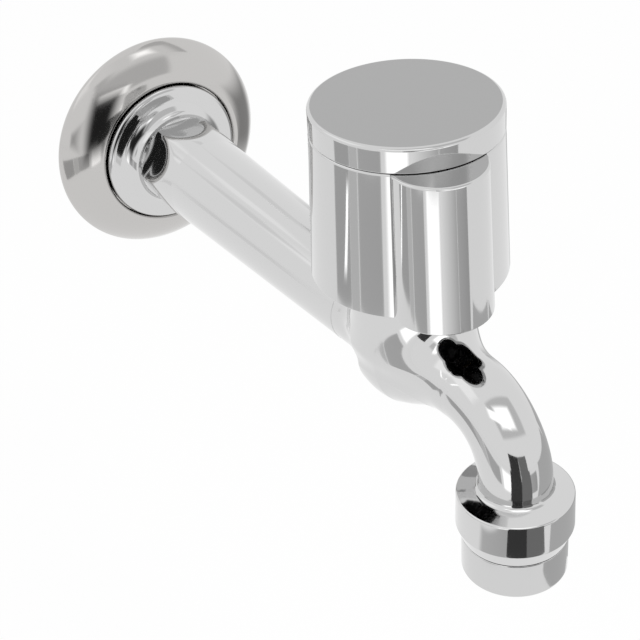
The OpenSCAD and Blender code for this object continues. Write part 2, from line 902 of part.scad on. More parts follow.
tap_body();
wall_flange();
flange_seal();
shoulder_gasket();
inlet_strainer();
flow_reducer();
bonnet();
bonnet_oring();
bonnet_gasket();
seat_seal();
fixed_disc();
moving_disc();
spindle();
spindle_orings();
thrust_washer();
stop_washer();
spindle_clip();
knob_shell();
spline_insert();
knob_screw();
screw_washer();
knob_cap();
aerator_housing();
seam_ring();
outlet_gasket();
dome_screen();
flow_regulator();
aerator_barrel();
outlet_screen();
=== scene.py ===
"""Looks of the wall-mounted kitchen tap, built round its solids.

Every new piece is a surface on a grid of two parameters, in millimetres in the
part's own frame: the wall is Y = 0, the tap reaches out along -Y and +Z is up.
"""
import json
import math

import bpy
import numpy as np
from bpy.props import FloatProperty, FloatVectorProperty, PointerProperty
from mathutils import Matrix, Vector


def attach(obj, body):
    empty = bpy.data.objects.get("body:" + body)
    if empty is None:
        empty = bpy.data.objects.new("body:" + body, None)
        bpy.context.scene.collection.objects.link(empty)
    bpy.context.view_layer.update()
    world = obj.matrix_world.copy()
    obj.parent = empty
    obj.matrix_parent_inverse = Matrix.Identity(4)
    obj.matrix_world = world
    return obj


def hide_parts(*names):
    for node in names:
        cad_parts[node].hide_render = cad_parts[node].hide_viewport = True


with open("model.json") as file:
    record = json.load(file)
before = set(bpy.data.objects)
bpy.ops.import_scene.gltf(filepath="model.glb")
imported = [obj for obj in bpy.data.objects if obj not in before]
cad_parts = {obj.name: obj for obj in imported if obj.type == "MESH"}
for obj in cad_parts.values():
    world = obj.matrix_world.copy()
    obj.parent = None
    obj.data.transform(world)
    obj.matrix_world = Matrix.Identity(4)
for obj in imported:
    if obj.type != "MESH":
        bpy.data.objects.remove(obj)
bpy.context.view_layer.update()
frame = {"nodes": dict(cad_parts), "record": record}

bl_info = {
    "name": "Wall Kitchen Tap",
    "version": (1, 0, 0),
    "blender": (4, 5, 0),
    "location": "View3D > Sidebar > Tap",
    "description": "Builds the visible pieces, finishes and studio of a wall-mounted kitchen tap",
    "category": "Object",
}

MM = 0.001

# ---------------------------------------------------------------------------
# Sizes
# ---------------------------------------------------------------------------


def length(name, description, default, low=0.0, high=500.0):
    """A size in millimetres that a user may change."""
    return FloatProperty(
        name=name, description=description, default=default, min=low, max=high, precision=2
    )


def colour(name, description, default):
    """A finish colour that a user may change, in linear values."""
    return FloatVectorProperty(
        name=name,
        description=description,
        default=default,
        size=3,
        min=0.0,
        max=1.0,
        subtype="COLOR",
    )


class BodySizes(bpy.types.PropertyGroup):
    """Cast body: arm, valve boss, spout and outlet ring."""

    knob_reach: length("Knob reach", "From the wall to the knob axis", 136.0)
    outlet_reach: length("Outlet reach", "From the wall to the outlet axis", 177.5)
    arm_wall_r: length("Arm radius at wall", "Radius of the arm, carried on to the wall", 14.05)
    arm_valve_r: length("Arm radius at valve", "Radius of the arm at the knob axis", 10.2)
    boss_r: length("Boss radius", "Radius of the valve boss", 15.2)
    boss_top: length("Boss height", "Height of the boss rim above the arm's axis", 24.0)
    bowl_r: length("Bowl radius", "Radius of the round bowl under the valve", 12.7)
    bowl_depth: length("Bowl depth", "Depth of the bowl below the arm's axis", 15.0)
    spout_start_r: length("Spout root radius", "Radius of the spout at the knob axis", 10.0)
    spout_r: length("Spout radius", "Radius of the spout at its outlet", 8.95)
    spout_bend_r: length("Spout radius in bend", "Radius half way round the spout's bend", 8.75)
    bend_r: length("Bend radius", "Radius of the bend's middle line", 17.0)
    arm_blend: length("Arm blend", "Width of the soft blend between boss and arm", 6.0)
    spout_blend: length("Spout blend", "Width of the soft blend between boss and spout", 9.0)


class OutletSizes(bpy.types.PropertyGroup):
    """Outlet ring and aerator housing."""

    ring_r: length("Ring radius", "Radius of the ring under the bend", 14.4)
    ring_top: length("Ring top", "Depth of the ring's upper edge below the arm's axis", 20.0)
    ring_side: length("Ring side", "Height of the ring's straight side", 9.0)
    ring_cone: length("Ring cone", "Height of the cone under the ring's side", 3.64)
    ring_slope: length("Ring slope", "Slope of the ring's top in degrees", 17.0)
    housing_r: length("Housing radius", "Radius of the aerator housing", 13.0)
    housing_h: length("Housing height", "Height of the aerator housing", 10.4)
    socket_r: length("Socket radius", "Radius of the thread between ring and housing", 9.5)
    mouth_r: length("Mouth radius", "Radius of the open mouth", 6.9)


class FlangeSizes(bpy.types.PropertyGroup):
    """Wall flange and the body's shoulder inside it."""

    flange_r: length("Flange radius", "Radius of the wall flange", 33.0)
    dome_r: length("Dome radius", "Radius of the flange's dome in section", 17.9)
    sheet: length("Sheet", "Thickness of the flange's sheet", 1.1)
    shoulder_r: length("Shoulder radius", "Radius of the shoulder in the flange", 21.2)
    hex_half: length("Hexagon half size", "Half of the spanner size at the arm's root", 12.5)
    thread_r: length("Thread radius", "Outside radius of the inlet thread", 10.4775)
    thread_len: length("Thread length", "Length of the inlet thread", 14.0)


class KnobSizes(bpy.types.PropertyGroup):
    """Knob, finger lobe and cap."""

    top_r: length("Knob radius at top", "Radius of the knob's upper edge", 22.75)
    base_r: length("Knob radius at base", "Radius of the knob's lower edge", 24.0)
    base_z: length("Knob base", "Height of the knob's lower edge", 23.1)
    height: length("Knob height", "Height of the knob's lower part", 37.3)
    lobe_top_out: length("Lobe offset at top", "Distance of the lobe's axis at the top", 18.9)
    lobe_base_out: length("Lobe offset at base", "Distance of the lobe's axis at the base", 20.4)
    lobe_top_r: length("Lobe radius at top", "Radius of the lobe at the top", 11.6)
    lobe_base_r: length("Lobe radius at base", "Radius of the lobe at the base", 12.1)
    lobe_angle: length("Lobe direction", "Degrees from -Y towards -X", 14.0, -180.0, 180.0)
    wall: length("Knob wall", "Thickness of the knob's wall", 2.2)
    cap_h: length("Cap height", "Height of the cap", 6.3)
    cap_round: length("Cap round", "Radius of the cap's upper edge", 0.9)
    parting: length("Parting", "Groove between knob and cap", 0.14)


class Finishes(bpy.types.PropertyGroup):
    """Colours of the finishes."""

    body_chrome: colour("Body chrome", "Plating of the cast body", (0.64, 0.64, 0.64))
    knob_chrome: colour("Knob chrome", "Plating of the knob", (0.62, 0.62, 0.62))
    flange_chrome: colour("Flange chrome", "Plating of the wall flange", (0.55, 0.54, 0.53))
    outlet_chrome: colour("Outlet chrome", "Plating of the aerator housing", (0.62, 0.62, 0.62))
    # the knob's unplated inside, made near black as painted shade of its hollow; the body shows it
    # as a dark reflection
    bare_knob: colour("Bare knob", "Unplated moulding inside the knob", (0.012, 0.012, 0.013))
    brass: colour("Brass", "Machined brass of the valve", (0.60, 0.42, 0.17))
    steel: colour("Steel", "Stainless small parts", (0.50, 0.50, 0.50))
    white_plastic: colour("White plastic", "Moulded plastic", (0.78, 0.78, 0.75))
    blue_plastic: colour("Blue plastic", "Flow regulator", (0.06, 0.16, 0.36))
    ceramic: colour("Ceramic", "Valve discs", (0.85, 0.83, 0.78))
    rubber: colour("Rubber", "Seals", (0.02, 0.02, 0.02))


class StudioSizes(bpy.types.PropertyGroup):
    """Floor, lamps and camera."""

    floor_drop: length("Floor depth", "Height of the arm's axis above the floor", 150.0)
    azimuth: length("Camera azimuth", "Degrees round the tap", -30.74, -180.0, 180.0)
    elevation: length("Camera elevation", "Degrees above the horizon", 34.16, -90.0, 90.0)
    roll: length("Camera roll", "Degrees of roll", -3.72, -180.0, 180.0)
    distance: length("Camera distance", "From the camera to its aim", 414.0, 10.0, 5000.0)
    aim_y: length("Camera aim", "Place along Y that the camera looks at", -136.116, -500.0, 500.0)
    slide_x: length("Camera slide", "Sideways slide of the camera", 23.13, -500.0, 500.0)
    slide_y: length("Camera lift", "Upward slide of the camera", 5.4, -500.0, 500.0)
    focal_px: length("Focal length", "Focal length in picture widths of 640", 1659.0, 10.0, 9000.0)


GROUPS = {
    "tap_body_sizes": BodySizes,
    "tap_outlet_sizes": OutletSizes,
    "tap_flange_sizes": FlangeSizes,
    "tap_knob_sizes": KnobSizes,
    "tap_finishes": Finishes,
    "tap_studio": StudioSizes,
}

# ---------------------------------------------------------------------------
# Grids and profiles
# ---------------------------------------------------------------------------


def put_mesh(name, points, faces, body, slot, sharp=32.0, bare=None, finish=None):
    """A mesh from an array of points in millimetres and an array of four-cornered faces. Its
    finish is the slot's own unless another is named. The faces that the given mask marks get
    the knob's unplated inside finish, made near black as painted shade of its hollow."""
    mesh = bpy.data.meshes.new(name)
    mesh.vertices.add(len(points))
    mesh.vertices.foreach_set("co", (points * MM).astype(np.float32).ravel())
    mesh.loops.add(faces.size)
    mesh.loops.foreach_set("vertex_index", faces.astype(np.int32).ravel())
    mesh.polygons.add(len(faces))
    mesh.polygons.foreach_set("loop_start", (np.arange(len(faces)) * 4).astype(np.int32))
    mesh.update(calc_edges=True)
    mesh.validate()
    mesh.shade_smooth()
    mesh.set_sharp_from_angle(angle=math.radians(sharp))
    mesh.materials.append(finish_of(finish or slot))
    # marked faces: unplated inside of the knob, near black as painted shade of the hollow
    if bare is not None:
        mesh.materials.append(finish_of("bare_knob"))
        mesh.polygons.foreach_set("material_index", bare.astype(np.int32))
    piece = bpy.data.objects.new(name, mesh)
    bpy.context.scene.collection.objects.link(piece)
    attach(piece, body)
    return piece


def grid_faces(rows, columns, closed_columns=True, closed_rows=False, flip=False):
    """Four-cornered faces of a grid of points stored row by row."""
    i = np.arange(rows if closed_rows else rows - 1)
    j = np.arange(columns if closed_columns else columns - 1)
    i, j = (a.ravel() for a in np.meshgrid(i, j, indexing="ij"))
    i2, j2 = (i + 1) % rows, (j + 1) % columns
    faces = np.stack([i * columns + j, i * columns + j2, i2 * columns + j2, i2 * columns + j], 1)
    return faces[:, ::-1] if flip else faces


def put_grid(name, points, body, slot, flip=False, closed_rows=False, **looks):
    """A mesh from one grid of points, closed along its columns."""
    faces = grid_faces(*points.shape[:2], closed_rows=closed_rows, flip=flip)
    return put_mesh(name, points.reshape(-1, 3), faces, body, slot, **looks)


def rounded(corners, step):
    """A profile line through corners (x, y, radius): each corner with a radius becomes an
    arc that touches both its sides, and a short support point stands beside each arc."""
    corners = [tuple(c) + (0.0,) * (3 - len(c)) for c in corners]
    out = []
    for k, (x, y, radius) in enumerate(corners):
        here = np.array([x, y])
        if radius <= 0 or k in (0, len(corners) - 1):
            out.append(here[None])
            continue
        before = np.array(corners[k - 1][:2]) - here
        after = np.array(corners[k + 1][:2]) - here
        a, b = before / np.linalg.norm(before), after / np.linalg.norm(after)
        half = math.acos(np.clip(a @ b, -1, 1)) / 2
        cut = radius / math.tan(half)
        centre = here + (a + b) / np.linalg.norm(a + b) * radius / math.sin(half)
        start, end = here + a * cut - centre, here + b * cut - centre
        t = np.linspace(0, 1, step + 1)[:, None]
        turn = math.pi - 2 * half
        arc = (np.sin((1 - t) * turn) * start + np.sin(t * turn) * end) / math.sin(turn)
        support = min(0.15, radius * 0.3)
        reach = cut + support
        out += [(here + a * reach)[None], centre + arc, (here + b * reach)[None]]
    return np.concatenate(out)


def finer(profile, most):
    """The same line with no part longer than most, by straight interpolation along its length."""
    gaps = np.linalg.norm(np.diff(profile, axis=0), axis=1)
    count = np.maximum(1, np.ceil(gaps / most)).astype(int)
    index = np.repeat(np.arange(len(gaps)), count)
    share = (np.arange(len(index)) - np.repeat(np.cumsum(count) - count, count)) / count[index]
    line = profile[index] + (profile[index + 1] - profile[index]) * share[:, None]
    return np.concatenate([line, profile[-1:]])


def off_wall(r, angle, distance):
    """Points at radius r and angle round the arm's axis, at a distance from the wall."""
    return np.stack(np.broadcast_arrays(r * np.cos(angle), -distance, r * np.sin(angle)), -1)


def upright(r, angle, height, reach):
    """Points at radius r and angle round an upright axis at a reach from the wall."""
    return np.stack(np.broadcast_arrays(r * np.cos(angle), r * np.sin(angle) - reach, height), -1)


def soft_min(a, b, width):
    """The smaller of a and b, with a parabola of the given width where they cross."""
    h = np.maximum(width - np.abs(a - b), 0.0) / width
    return np.minimum(a, b) - h * h * width / 4


def cut_by_flats(r, angle, flat, sides, turn, soft):
    """Radius r held in by a regular prism: flat / cos(angle to the nearest side)."""
    step = 2 * math.pi / sides
    near = (angle - turn + step / 2) % step - step / 2
    return soft_min(r, flat / np.cos(near), soft)


def circle_angles(count):
    """Evenly spaced angles of one turn."""
    return np.arange(count) * 2 * math.pi / count


# ---------------------------------------------------------------------------
# Finishes
# ---------------------------------------------------------------------------


def polish_group():
    """Node group: fine uneven polish. It puts out a roughness that a soft noise varies, and a
    height whose waves are a few hundredths of a millimetre high."""
    name = "Polish Variation"
    if name in bpy.data.node_groups:
        return bpy.data.node_groups[name]
    group = bpy.data.node_groups.new(name, "ShaderNodeTree")
    face = group.interface
    face.new_socket("Wave Size", in_out="INPUT", socket_type="NodeSocketFloat").default_value = 60.0
    face.new_socket("Low", in_out="INPUT", socket_type="NodeSocketFloat").default_value = 0.04
    face.new_socket("High", in_out="INPUT", socket_type="NodeSocketFloat").default_value = 0.08
    face.new_socket("Roughness", in_out="OUTPUT", socket_type="NodeSocketFloat")
    face.new_socket("Height", in_out="OUTPUT", socket_type="NodeSocketFloat")
    nodes, links = group.nodes, group.links
    given, out = nodes.new("NodeGroupInput"), nodes.new("NodeGroupOutput")
    place, noise = nodes.new("ShaderNodeTexCoord"), nodes.new("ShaderNodeTexNoise")
    noise.inputs["Detail"].default_value = 3.0
    spread = nodes.new("ShaderNodeMapRange")
    links.new(place.outputs["Object"], noise.inputs["Vector"])
    links.new(given.outputs["Wave Size"], noise.inputs["Scale"])
    links.new(noise.outputs["Fac"], spread.inputs["Value"])
    links.new(given.outputs["Low"], spread.inputs["To Min"])
    links.new(given.outputs["High"], spread.inputs["To Max"])
    links.new(spread.outputs["Result"], out.inputs["Roughness"])
    links.new(noise.outputs["Fac"], out.inputs["Height"])
    return group


def metal(name, tint, low, high, wave=60.0):
    """Polished or machined metal with the Polish Variation group on its roughness."""
    material = bpy.data.materials.new(name)
    material.use_nodes = True
    nodes, links = material.node_tree.nodes, material.node_tree.links
    shader = nodes["Principled BSDF"]
    shader.inputs["Base Color"].default_value = (*tint, 1.0)
    shader.inputs["Metallic"].default_value = 1.0
    polish = nodes.new("ShaderNodeGroup")
    polish.node_tree = polish_group()
    polish.inputs["Wave Size"].default_value = wave
    polish.inputs["Low"].default_value = low
    polish.inputs["High"].default_value = high
    links.new(polish.outputs["Roughness"], shader.inputs["Roughness"])
    return material


def solid_finish(name, tint, low, high, coat=0.0, wave=400.0):
    """Moulded plastic, rubber or ceramic: the Polish Variation group drives its roughness, a
    faint cloud in its colour and a very low grain."""
    material = bpy.data.materials.new(name)
    material.use_nodes = True
    nodes, links = material.node_tree.nodes, material.node_tree.links
    shader = nodes["Principled BSDF"]
    shader.inputs["Coat Weight"].default_value = coat
    polish, cloud, grain = (nodes.new("ShaderNode" + kind) for kind in ("Group", "Mix", "Bump"))
    polish.node_tree = polish_group()
    polish.inputs["Wave Size"].default_value = wave
    polish.inputs["Low"].default_value = low
    polish.inputs["High"].default_value = high
    cloud.data_type = "RGBA"
    cloud.inputs[6].default_value = (*(0.88 * v for v in tint), 1.0)
    cloud.inputs[7].default_value = (*tint, 1.0)
    grain.inputs["Strength"].default_value = 0.15
    grain.inputs["Distance"].default_value = 0.0001
    links.new(polish.outputs["Height"], cloud.inputs["Factor"])
    links.new(polish.outputs["Height"], grain.inputs["Height"])
    links.new(polish.outputs["Roughness"], shader.inputs["Roughness"])
    links.new(cloud.outputs[2], shader.inputs["Base Color"])
    links.new(grain.outputs["Normal"], shader.inputs["Normal"])
    return material


def finish_of(slot):
    """The material of a slot of the record, or of the knob's unplated inside, whose near-black
    colour is painted shade, made once.
    """
    name = slot + "_finish"
    if name in bpy.data.materials:
        return bpy.data.materials[name]
    tints = bpy.context.scene.tap_finishes
    made = {
        "body_chrome": lambda n: metal(n, tints.body_chrome, 0.05, 0.09, 40.0),
        "knob_chrome": lambda n: metal(n, tints.knob_chrome, 0.05, 0.08, 40.0),
        "flange_chrome": lambda n: metal(n, tints.flange_chrome, 0.07, 0.12, 50.0),
        "housing_chrome": lambda n: metal(n, tints.outlet_chrome, 0.08, 0.12, 60.0),
        "valve_brass": lambda n: metal(n, tints.brass, 0.22, 0.34, 300.0),
        "steel": lambda n: metal(n, tints.steel, 0.25, 0.35, 300.0),
        "ceramic": lambda n: solid_finish(n, tints.ceramic, 0.15, 0.25, 0.3),
        "white_plastic": lambda n: solid_finish(n, tints.white_plastic, 0.4, 0.5),
        "blue_plastic": lambda n: solid_finish(n, tints.blue_plastic, 0.35, 0.45),
        "rubber": lambda n: solid_finish(n, tints.rubber, 0.55, 0.7),
        # knob's unplated inside: near black as painted shade of its hollow
        "bare_knob": lambda n: solid_finish(n, tints.bare_knob, 0.5, 0.6),
    }
    return made[slot](name)


# ---------------------------------------------------------------------------
# Cast body
# ---------------------------------------------------------------------------


def arm_radius(s, distance):
    """Radius of the tapered arm: straight from its wall radius to its valve radius."""
    return s.arm_wall_r + (s.arm_valve_r - s.arm_wall_r) * distance / s.knob_reach


def spout_radius(s, distance):
    """Radius of the straight spout, narrowing evenly from the knob axis to the bend."""
    bend_start = s.outlet_reach - s.bend_r
    share = np.clip((distance - s.knob_reach) / (bend_start - s.knob_reach), 0, 1)
    return s.spout_start_r + (s.spout_r - s.spout_start_r) * share


def body_field(s, p):
    """Distance-like field of arm, boss, bowl and spout, below zero inside. The parts join by
    soft_min, so a blend of the given width runs round each meeting line."""
    x, y, z = p[..., 0], p[..., 1], p[..., 2]
    out = -y
    ahead = out - s.knob_reach
    from_arm = np.hypot(x, z)
    arm = np.maximum(from_arm - arm_radius(s, np.minimum(out, s.knob_reach)), ahead)
    spout = np.maximum(from_arm - spout_radius(s, out), -ahead)
    from_valve = np.hypot(x, ahead)
    bowl_z = s.bowl_r - s.bowl_depth
    rise = np.clip((z - bowl_z) / 6.0, 0, 1)
    rise = rise * rise * (3 - 2 * rise)
    boss = np.maximum(from_valve - (s.bowl_r + (s.boss_r - s.bowl_r) * rise), bowl_z - z)
    ball = np.sqrt(from_valve**2 + (z - bowl_z) ** 2) - s.bowl_r
    pot = np.minimum(boss, ball)
    return soft_min(soft_min(pot, arm, s.arm_blend), spout, s.spout_blend)


def solve_rays(field, start, direction, far, steps=34):
    """Length of each ray from inside a shape to its skin, by halving the span."""
    near_t = np.zeros(direction.shape[:-1])
    far_t = np.full(direction.shape[:-1], float(far))
    for _ in range(steps):
        middle = (near_t + far_t) / 2
        inside = field(start + direction * middle[..., None]) < 0
        near_t, far_t = np.where(inside, middle, near_t), np.where(inside, far_t, middle)
    return (near_t + far_t) / 2


# distances from the knob axis to the seams of the valve skin, and from the wall to the root's end
ARM_SEAM, SPOUT_SEAM, ROOT_END = 21.0, 24.3, 34.0
# how far arm and spout stand over the valve skin where they lap it
PROUD = 0.02
# radius and depth of the pocket that holds the valve
POCKET_R, POCKET_DEPTH = 10.58, 11.0
# depth of the knob's deck under its upper edge
DECK_DROP = 3.5


def build_valve_skin(s):
    """Skin of the boss, the bowl and the stubs of arm and spout: for each azimuth and each
    elevation, the point where a ray from the middle of the boss leaves the body's field.
    The field is cut by two upright planes just past the seams with the arm and the spout."""
    middle = np.array([0.0, -s.knob_reach, 3.0])
    top = math.atan2(s.boss_top - 2.0 - middle[2], s.boss_r)
    lift = np.linspace(top, -math.pi / 2 + 1e-4, 250)[:, None]
    angle = circle_angles(384)[None]
    flat = np.cos(lift)
    direction = np.stack(
        np.broadcast_arrays(flat * np.cos(angle), flat * np.sin(angle), np.sin(lift)), -1
    )

    def field(p):
        ahead = -p[..., 1] - s.knob_reach
        ends = np.maximum(ahead - SPOUT_SEAM, -ahead - ARM_SEAM) - 0.6
        return np.maximum(body_field(s, p), ends)

    length_out = solve_rays(field, middle, direction, 60.0)
    points = middle + direction * length_out[..., None]
    piece = put_grid("body_valve_skin", points, "tap", "body_chrome", flip=True, sharp=60.0)
    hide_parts("tap_body")


def build_boss_rim(s):
    """Rim of the boss and the wall of its pocket: a profile turned round the knob axis."""
    r, top = s.boss_r, s.boss_top
    corners = [
        (r, top - 2.2), (r, top - 1.0, 0.2), (r - 1.0, top, 0.2),
        (POCKET_R, top, 0.15), (POCKET_R, top - POCKET_DEPTH),
    ]
    line = finer(rounded(corners, 4), 1.0)
    points = upright(line[:, :1], circle_angles(192)[None], line[:, 1:], s.knob_reach)
    put_grid("body_boss_rim", points, "tap", "body_chrome")


def build_arm(s):
    """Tapered arm from the hexagon to the seam at the boss: a straight line turned round Y."""
    distance = np.linspace(ROOT_END, s.knob_reach - ARM_SEAM + 0.3, 90)[:, None]
    points = off_wall(arm_radius(s, distance) + PROUD, circle_angles(256)[None], distance)
    put_grid("body_arm", points, "tap", "body_chrome", flip=True)


def build_spout(s):
    """Spout: a circle carried along a path that runs straight out and then turns down through
    a quarter of the bend radius. The circle's radius falls to its least half way round."""
    bend_start = s.outlet_reach - s.bend_r
    straight = np.linspace(s.knob_reach + SPOUT_SEAM - 0.3, bend_start, 4, endpoint=False)
    turn = np.linspace(0, math.pi / 2, 80)
    out = np.concatenate([straight, bend_start + s.bend_r * np.sin(turn)])
    down = np.concatenate([0 * straight, s.bend_r * (1 - np.cos(turn))])
    tilt = np.concatenate([0 * straight, turn])
    waist = (s.spout_bend_r - s.spout_r) * np.sin(2 * tilt) ** 2
    radius = np.where(tilt > 0, s.spout_r, spout_radius(s, out)) + waist + PROUD
    angle = circle_angles(256)[None]
    side = radius[:, None] * np.cos(angle)
    lift = radius[:, None] * np.sin(angle)
    points = np.stack(
        [
            side,
            -(out[:, None] + lift * np.sin(tilt)[:, None]),
            -down[:, None] + lift * np.cos(tilt)[:, None],
        ],
        -1,
    )
    put_grid("body_spout", points, "tap", "body_chrome", flip=True)


def build_root(f, s):
    """Inlet thread, shoulder, neck and hexagon: a profile turned round the arm's axis, with the
    hexagon cut by six flats that run out into the arm, and the thread's radius falling in a
    helix of pitch 1.814 mm."""
    pitch, depth = 1.814, 1.0
    neck = f.hex_half + 0.7
    hex_corner = f.hex_half / math.cos(math.pi / 6)
    arm = arm_radius(s, ROOT_END) + PROUD
    bore = 7.6
    plain = [
        (bore, 5.0), (bore, 5.01), (bore, 14.0, 0.2),
        (f.thread_r - 1.0, 14.0, 0.2), (f.thread_r, 13.0),
    ]
    lead = finer(rounded([(r, -y, *c) for r, y, *c in plain], 4), 1.5)
    thread = np.stack([np.full(170, f.thread_r), np.linspace(-12.95, -0.05, 170)], 1)
    rest = rounded(
        [
            (f.thread_r, 0.0), (f.thread_r - 0.8, 0.3), (f.thread_r - 0.8, 6.2),
            (f.shoulder_r, 6.2, 0.2), (f.shoulder_r, 11.4, 1.6), (neck, 11.4, 4.55),
            (neck, 16.2), (hex_corner, 17.4, 0.6), (hex_corner, 21.0, 3.0), (arm, ROOT_END),
        ],
        16,
    )
    line = np.concatenate([lead, thread, finer(rest, 0.4)])
    angle = circle_angles(240)[None]
    r, distance = line[:, :1], line[:, 1:]
    phase = (distance / pitch + angle / (2 * math.pi)) % 1.0
    ramp = np.clip(np.minimum(distance + 13.0, -distance) / 1.2, 0, 1)
    groove = depth * ramp * np.abs(2 * phase - 1)
    r = np.where((distance > -13.0) & (distance < 0.0), r - groove, r + 0 * angle)
    fade = np.clip((distance - 21.0) / (ROOT_END - 21.0), 0, 1)
    flat = f.hex_half + 1.2 * fade * fade * (3 - 2 * fade)
    r = np.where(distance > 16.0, cut_by_flats(r, angle, flat, 6, math.pi / 2, 0.7), r)
    points = off_wall(r, angle, distance)
    put_grid("body_root", points, "tap", "body_chrome", flip=True, sharp=25.0)


def build_ring(o, s):
    """Outlet ring: neck, hollow curve, sloped top, side, cone and bottom, as a profile turned
    round the outlet axis."""
    rise = math.tan(math.radians(o.ring_slope))
    edge_r = o.ring_r - 0.6
    top_at_neck = -o.ring_top + (edge_r - s.spout_r) * rise
    low = o.ring_top + o.ring_side
    seam = low + o.ring_cone
    line = rounded(
        [
            (s.spout_r, -s.bend_r + 0.2),
            (s.spout_r, top_at_neck, 1.5),
            (o.ring_r - 0.15, -o.ring_top + 0.05, 0.55),
            (o.ring_r, -low, 0.8),
            (o.housing_r, -seam, 0.25),
            (o.socket_r + 0.1, -seam),
        ],
        14,
    )
    line = finer(line, 0.5)
    points = upright(line[:, :1], circle_angles(320)[None], line[:, 1:], s.outlet_reach)
    put_grid("body_ring", points, "tap", "body_chrome", sharp=28.0)


# ---------------------------------------------------------------------------
# Aerator housing, flange, knob and cap
# ---------------------------------------------------------------------------


def build_housing(o, s):
    """Aerator housing: a profile turned round the outlet axis, with a rounded lower edge, a lip
    and the bore above it."""
    seam_gap, bore = 0.25, 7.9
    seam = o.ring_top + o.ring_side + o.ring_cone + seam_gap
    bottom = seam - seam_gap + o.housing_h
    line = rounded(
        [
            (o.socket_r + 0.1, -seam), (o.housing_r, -seam, 0.25), (o.housing_r, -bottom, 0.9),
            (o.mouth_r + 1.1, -bottom, 0.3), (o.mouth_r, -bottom + 1.0, 0.1),
            (o.mouth_r, -bottom + 1.6, 0.1), (bore, -bottom + 1.6), (bore, -bottom + 9.0),
        ],
        10,
    )
    line = finer(line, 0.5)
    points = upright(line[:, :1], circle_angles(320)[None], line[:, 1:], s.outlet_reach)
    piece = put_grid("outlet_housing", points, "tap", "housing_chrome", sharp=28.0)
    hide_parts("aerator_housing")


def build_flange(f):
    """Wall flange: the section of its sheet, front and back, turned round the inlet's axis.
    Front: rounded rim, arc of the dome, lip and sunk seat. Back: the same, one sheet deeper."""
    def turn(cx, cy, radius, start, end, count):
        t = np.radians(np.linspace(start, end, count))
        return np.stack([cx + radius * np.cos(t), cy + radius * np.sin(t)], 1)

    seat = f.shoulder_r + 0.4
    rim = turn(f.flange_r - 2.2, 1.2, 2.2, -33, 30, 16)
    low, high = np.radians([30, 70])
    centre = rim[-1] - f.dome_r * np.array([math.cos(low), math.sin(low)])
    crown = centre + (f.dome_r - 1.3) * np.array([math.cos(high), math.sin(high)])
    front = np.concatenate(
        [
            rim,
            turn(*centre, f.dome_r, 30, 70, 70)[1:],
            turn(*crown, 1.3, 70, 180, 24)[1:],
            np.array([[seat, 5.4], [seat, 5.2], [seat - 0.2, 5.2], [11.2, 5.2], [11.0, 5.1]]),
        ]
    )
    corner = seat + f.sheet
    back = np.concatenate(
        [
            np.array([[11.0, 4.2], [11.2, 4.1], [corner - 0.2, 4.1], [corner, 4.3]]),
            turn(*crown, 1.3 - f.sheet, 180, 80, 8),
            turn(*centre, f.dome_r - f.sheet, 68, 32, 40),
            np.array([[30.6, 1.2], [30.6, 0.0]]),
        ]
    )
    line = finer(np.concatenate([front, back]), 1.2)
    points = off_wall(line[:, :1], circle_angles(320)[None], line[:, 1:])
    piece = put_grid("flange_shell", points, "tap", "flange_chrome", closed_rows=True, sharp=40.0)
    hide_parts("wall_flange")


def knob_outline(k, height, inset, columns_lobe=120, columns_round=220):
    """Outline of the knob at each height: the union of the round wall and the lobe. Each
    height gives its corner angle, where the circles cross, and the columns run along the
    lobe's arc and then along the round wall's arc, so a column stands in each corner."""
    share = np.clip((height - k.base_z) / k.height, 0, 1)
    round_r = k.base_r + (k.top_r - k.base_r) * share - inset
    out = k.lobe_base_out + (k.lobe_top_out - k.lobe_base_out) * share
    lobe_r = k.lobe_base_r + (k.lobe_top_r - k.lobe_base_r) * share - inset
    corner = np.arccos((out**2 + round_r**2 - lobe_r**2) / (2 * out * round_r))
    lobe_corner = np.arctan2(round_r * np.sin(corner), round_r * np.cos(corner) - out)
    u = np.linspace(-1, 1, columns_lobe, endpoint=False)[None]
    w = np.linspace(0, 1, columns_round, endpoint=False)[None]
    lobe = (out + lobe_r * np.exp(1j * lobe_corner * u), 1)[0]
    wall = round_r * np.exp(1j * (corner + (2 * math.pi - 2 * corner) * w))
    return np.concatenate([lobe, wall], 1) * np.exp(-1j * math.radians(90 + k.lobe_angle))


